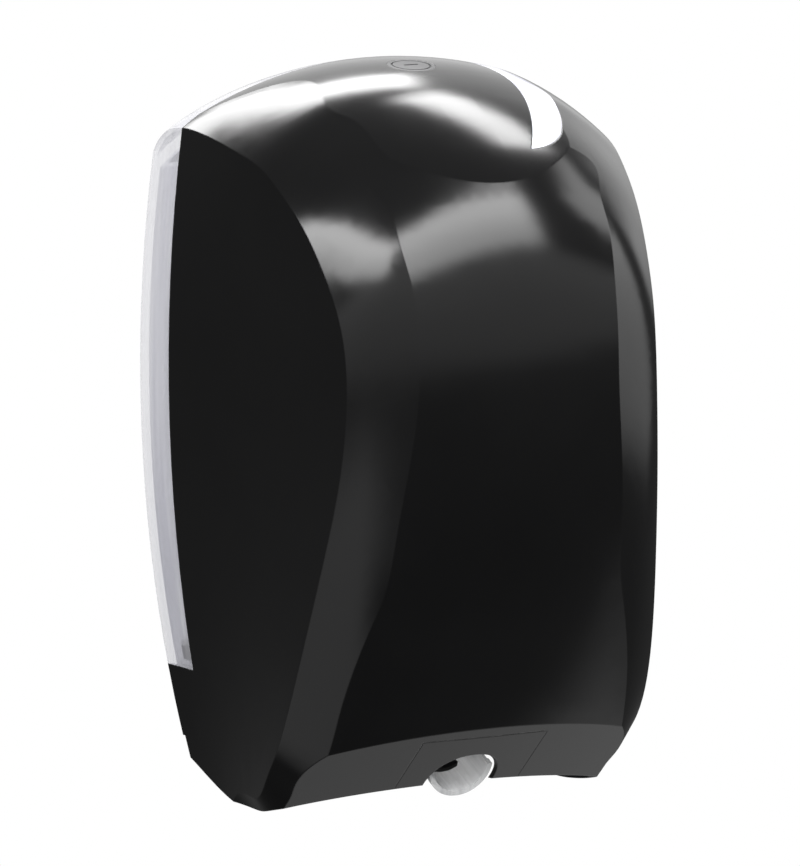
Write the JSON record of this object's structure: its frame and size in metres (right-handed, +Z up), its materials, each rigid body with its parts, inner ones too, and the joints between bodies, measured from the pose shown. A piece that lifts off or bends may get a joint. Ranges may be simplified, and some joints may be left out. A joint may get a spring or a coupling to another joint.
{
  "type": "lever paper towel dispenser",
  "caption": "Wall-mounted centre-pull paper towel dispenser with a faceted black hinged cover, clear refill windows, a top lock and a sprung clear outlet lever.",
  "frame": {"origin": "the centre of the four wall screws, on the wall plane", "axes": "+Z up, -Y out of the wall towards the user, +X to the right seen from the front"},
  "size_m": [0.2494, 0.1963, 0.3863],
  "materials": {
    "black_shell": "moulded ABS, satin gloss",
    "clear_shell": "clear polycarbonate",
    "frosted_window": "pale clear polycarbonate",
    "black_inner": "moulded nylon",
    "lock_grey": "moulded nylon",
    "acetal": "natural acetal",
    "light_abs": "pale grey moulded ABS",
    "clear_lever": "clear polycarbonate",
    "zinc_steel": "zinc plated",
    "zinc_screw": "zinc plated",
    "spring_steel": "bright spring wire",
    "black_rubber": "moulded rubber"
  },
  "bodies": {
    "chassis": {"back_plate": "light_abs", "latch_strike": "zinc_steel", "strike_screws": "zinc_screw", "hinge_block_right": "black_inner", "hinge_block_left": "black_inner", "hinge_pin_right": "zinc_steel", "hinge_pin_left": "zinc_steel", "hinge_screws": "zinc_screw", "roll_shelf": "light_abs", "shelf_bracket_right": "light_abs", "shelf_bracket_left": "light_abs", "shelf_screws": "zinc_screw", "roll_guide_right": "light_abs", "roll_guide_left": "light_abs", "outlet_funnel": "acetal", "brake_diaphragm": "black_rubber", "nozzle_ring": "lock_grey", "lever_bracket": "light_abs", "lever_pin": "zinc_steel", "pin_clip": "spring_steel", "bracket_screws": "zinc_screw"},
    "cover": {"cover_skin": "black_shell", "chin_lip": "black_shell", "rear_window_band": "clear_shell", "crescent_window": "frosted_window", "window_clips": "black_shell", "cover_arm_right": "black_inner", "cover_arm_left": "black_inner", "lock_housing": "black_inner", "lock_spring": "spring_steel"},
    "lock": {"lock_button": "lock_grey", "latch_hook": "acetal", "button_clip": "spring_steel"},
    "lever": {"outlet_lever": "clear_lever", "brake_pad": "black_rubber", "lever_spring": "spring_steel"}
  },
  "joints": [
    {"name": "cover_hinge", "type": "hinge", "parent": "chassis", "child": "cover", "pos_m": [0, -0.012, -0.181], "axis": [1, 0, 0], "range_deg": [0, 70]},
    {"name": "lock_press", "type": "slide", "parent": "cover", "child": "lock", "axis": [0, 0, -1], "range_m": [0, 0.004], "stiffness_N_per_m": 800, "springref_m": -0.001, "deforming": ["lock_spring"]},
    {"name": "lever_tip", "type": "hinge", "parent": "chassis", "child": "lever", "pos_m": [0, -0.06, -0.1505], "axis": [1, 0, 0], "range_deg": [0, 12], "stiffness_Nm_per_rad": 0.4, "springref_deg": -5.73}
  ]
}
